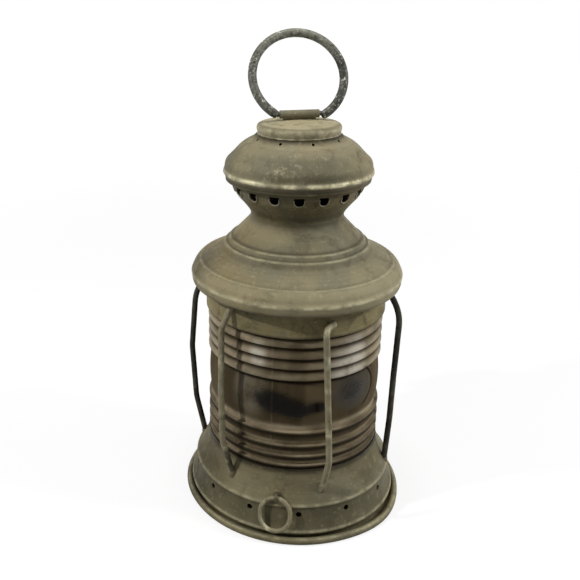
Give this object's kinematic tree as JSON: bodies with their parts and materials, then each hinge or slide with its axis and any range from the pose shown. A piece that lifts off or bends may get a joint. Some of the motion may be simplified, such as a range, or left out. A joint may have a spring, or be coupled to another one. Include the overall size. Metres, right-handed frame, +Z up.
{
  "type": "railway signal lamp",
  "caption": "Oil signal lamp with a ribbed drum lens behind wire guards, a vented crown, a folding ring handle and a drop-out fount with a flat-wick burner.",
  "frame": {"origin": "middle of the bottom pan's underside, on the lamp's axis", "axes": "+Z up along the lamp's axis, X along the hinge of the ring handle, front of the lamp towards -Y"},
  "size_m": [0.148, 0.148, 0.3099],
  "materials": {
    "patina_brass": "dull olive-khaki patina, brighter where the edges are worn",
    "inner_brass": "dark sooty brass",
    "guard_wire": "dull khaki wire with dark grime",
    "ring_iron": "grey-brown mottled iron with pale flecks",
    "bright_steel": "plain spring and spindle steel, dulled",
    "lens_glass": "dusty clear pressed glass with a brown-grey cast",
    "packing": "grimy felt packing",
    "wick_cotton": "woven cotton, oil-stained, charred at its top"
  },
  "bodies": {
    "lamp": {"base_band": "patina_brass", "base_skirt": "patina_brass", "lens_seat": "patina_brass", "lower_gasket": "packing", "lens": "lens_glass", "upper_gasket": "packing", "upper_collar": "patina_brass", "inner_chimney": "inner_brass", "hood": "patina_brass", "crown_bowl": "patina_brass", "wind_baffle": "inner_brass", "crown": "patina_brass", "cap": "patina_brass", "ring_sleeve": "patina_brass", "guard_1": "guard_wire", "guard_2": "guard_wire", "guard_3": "guard_wire", "guard_4": "guard_wire", "guard_5": "guard_wire", "guard_6": "guard_wire", "guard_ferrules": "patina_brass", "catch_spring": "bright_steel", "catch_rivets": "inner_brass", "catch_bush": "patina_brass"},
    "handle": {"ring_handle": "ring_iron"},
    "catch": {"catch_eye": "patina_brass"},
    "pull": {"pull_ring": "patina_brass"},
    "fount": {"base_pan": "patina_brass", "fount_tank": "inner_brass", "filler_neck": "inner_brass", "thread_ring": "inner_brass", "burner_gallery": "inner_brass", "wick_tube": "inner_brass", "burner_cone": "inner_brass"},
    "filler_lid": {"filler_cap": "patina_brass"},
    "wick_shaft": {"wick_spindle": "bright_steel", "wick_knob": "inner_brass"},
    "wick_strip": {"wick": "wick_cotton"}
  },
  "joints": [
    {"name": "ring_fold", "type": "hinge", "parent": "lamp", "child": "handle", "pos_m": [0, 0, 0.26046], "axis": [1, 0, 0], "range_deg": [-67, 123]},
    {"name": "catch_pull", "type": "slide", "parent": "lamp", "child": "catch", "axis": [-0.342, -0.9397, 0], "range_m": [0, 0.002], "stiffness_N_per_m": 1500, "springref_m": -0.001, "deforming": ["catch_spring"]},
    {"name": "pull_ring_swing", "type": "hinge", "parent": "catch", "child": "pull", "pos_m": [-0.02285, -0.06277, 0.0296], "axis": [-0.9397, 0.342, 0], "range_deg": [0, 100]},
    {"name": "fount_drop", "type": "slide", "parent": "lamp", "child": "fount", "axis": [0, 0, -1], "range_m": [0, 0.105]},
    {"name": "filler_cap_turn", "type": "hinge", "parent": "fount", "child": "filler_lid", "pos_m": [0, 0.033, 0.033], "axis": [0, 0, 1], "continuous": true},
    {"name": "wick_turn", "type": "hinge", "parent": "fount", "child": "wick_shaft", "pos_m": [0, 0.00445, 0.0496], "axis": [1, 0, 0], "range_deg": [-90, 90]},
    {"name": "wick_slide", "type": "slide", "parent": "fount", "child": "wick_strip", "axis": [0, 0, 1], "range_m": [-0.0045, 0.0045]}
  ],
  "couplings": [
    {"joint": "wick_slide", "follows": "wick_turn", "m_per_rad": -0.0028}
  ]
}
